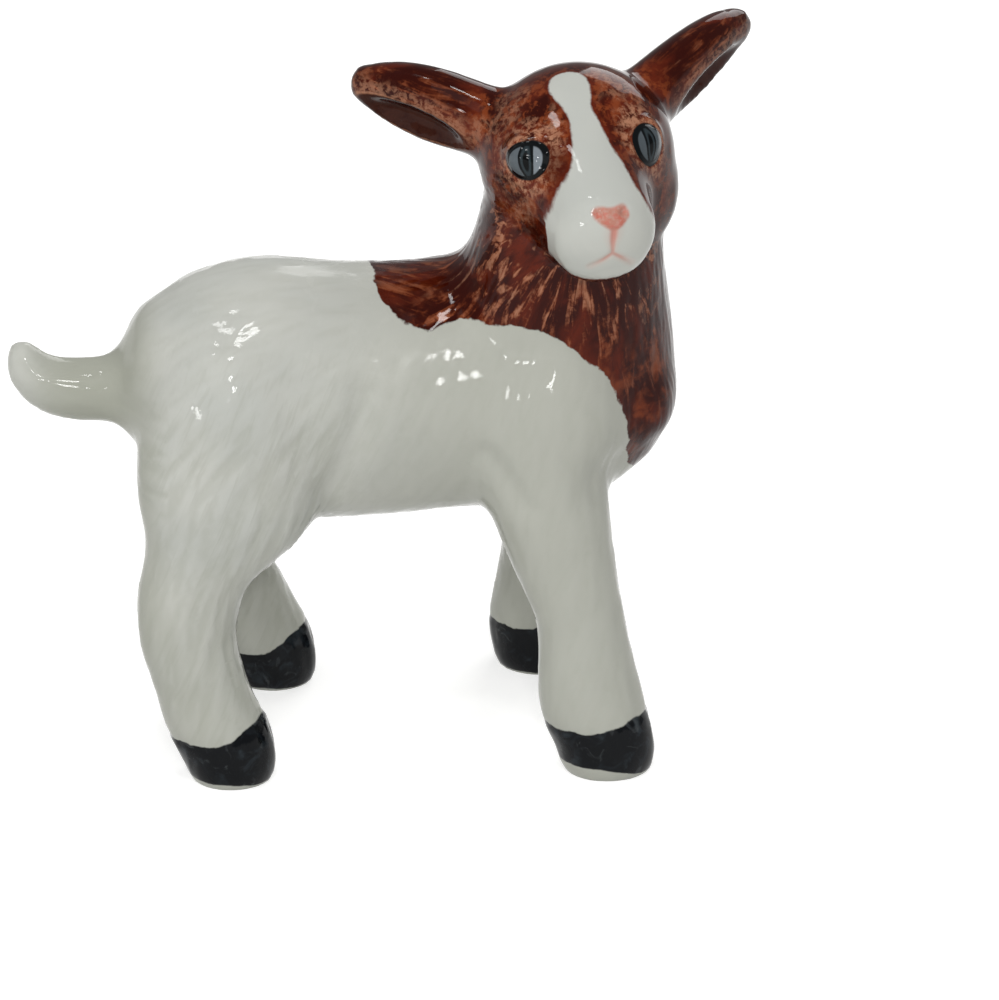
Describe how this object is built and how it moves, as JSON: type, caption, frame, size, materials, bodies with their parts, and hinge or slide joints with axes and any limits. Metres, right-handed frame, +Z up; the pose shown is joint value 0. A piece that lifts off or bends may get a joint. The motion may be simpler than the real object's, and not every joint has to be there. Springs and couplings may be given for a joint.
{
  "type": "goat figurine",
  "caption": "Small standing goat kid in glazed porcelain, head turned to its right, ears out, short upturned tail, on flat hoof soles.",
  "frame": {"origin": "middle of the bounding box at the level of the hoof soles", "axes": "+X is the way the trunk faces, from the tail to the chest; +Y is the goat's left side; +Z is up"},
  "size_m": [0.0452, 0.021, 0.0439],
  "materials": {
    "glazed_porcelain": "gloss"
  },
  "bodies": {
    "root": {"goat": "glazed_porcelain"}
  },
  "joints": []
}
